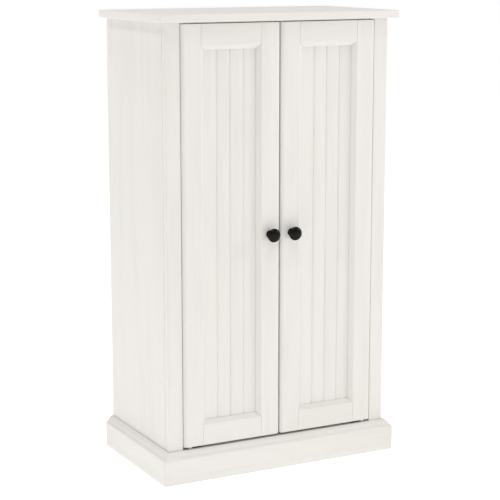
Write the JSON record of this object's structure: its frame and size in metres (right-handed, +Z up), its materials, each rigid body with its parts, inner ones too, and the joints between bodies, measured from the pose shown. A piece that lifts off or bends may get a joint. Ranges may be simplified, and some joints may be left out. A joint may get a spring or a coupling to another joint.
{
  "type": "two-door pantry cabinet",
  "caption": "Free-standing storage cabinet with shelves behind a pair of framed beadboard doors, on a moulded plinth under an overhanging top.",
  "frame": {"origin": "on the floor, at the centre of the whole cabinet's bounding box, knobs included", "axes": "+Z up; the doors face -Y; +X is the right-hand side seen from the front"},
  "size_m": [0.61, 0.363, 1.067],
  "materials": {
    "white_paint": "satin white paint with a faint brushed grain",
    "white_board": "satin white painted board",
    "dark_bronze": "dark oil-rubbed bronze, satin",
    "zinc_plated_steel": "zinc plated",
    "white_nylon": "moulded nylon"
  },
  "bodies": {
    "carcass": {"side_panel_left": "white_paint", "side_panel_right": "white_paint", "front_post_left": "white_paint", "front_post_right": "white_paint", "top_slab": "white_paint", "plinth_front": "white_paint", "plinth_left": "white_paint", "plinth_right": "white_paint", "plinth_back": "white_paint", "head_rail": "white_paint", "bottom_panel": "white_board", "back_panel": "white_board", "top_rail_back": "white_board", "fixed_shelf": "white_board", "lower_shelf": "white_board", "upper_shelf": "white_board", "lower_pin_front_left": "zinc_plated_steel", "lower_pin_front_right": "zinc_plated_steel", "lower_pin_back_left": "zinc_plated_steel", "lower_pin_back_right": "zinc_plated_steel", "upper_pin_front_left": "zinc_plated_steel", "upper_pin_front_right": "zinc_plated_steel", "upper_pin_back_left": "zinc_plated_steel", "upper_pin_back_right": "zinc_plated_steel", "glide_front_left": "white_nylon", "glide_front_right": "white_nylon", "glide_back_left": "white_nylon", "glide_back_right": "white_nylon", "magnetic_catch": "white_nylon", "left_top_pivot_case_plate": "zinc_plated_steel", "left_top_pivot_washer": "white_nylon", "left_bottom_pivot_case_plate": "zinc_plated_steel", "left_bottom_pivot_washer": "white_nylon", "right_top_pivot_case_plate": "zinc_plated_steel", "right_top_pivot_washer": "white_nylon", "right_bottom_pivot_case_plate": "zinc_plated_steel", "right_bottom_pivot_washer": "white_nylon"},
    "left_door": {"left_door_hinge_stile": "white_paint", "left_door_meeting_stile": "white_paint", "left_door_top_rail": "white_paint", "left_door_bottom_rail": "white_paint", "left_door_panel": "white_paint", "left_knob": "dark_bronze", "left_knob_screw": "zinc_plated_steel", "left_strike_plate": "zinc_plated_steel", "left_top_pivot_door_plate": "zinc_plated_steel", "left_bottom_pivot_door_plate": "zinc_plated_steel"},
    "right_door": {"right_door_hinge_stile": "white_paint", "right_door_meeting_stile": "white_paint", "right_door_top_rail": "white_paint", "right_door_bottom_rail": "white_paint", "right_door_panel": "white_paint", "right_knob": "dark_bronze", "right_knob_screw": "zinc_plated_steel", "right_strike_plate": "zinc_plated_steel", "right_top_pivot_door_plate": "zinc_plated_steel", "right_bottom_pivot_door_plate": "zinc_plated_steel"}
  },
  "joints": [
    {"name": "left_door_hinge", "type": "hinge", "parent": "carcass", "child": "left_door", "pos_m": [-0.2306, -0.1435, 0.563], "axis": [0, 0, -1], "range_deg": [0, 105]},
    {"name": "right_door_hinge", "type": "hinge", "parent": "carcass", "child": "right_door", "pos_m": [0.2306, -0.1435, 0.563], "axis": [0, 0, 1], "range_deg": [0, 105]}
  ]
}
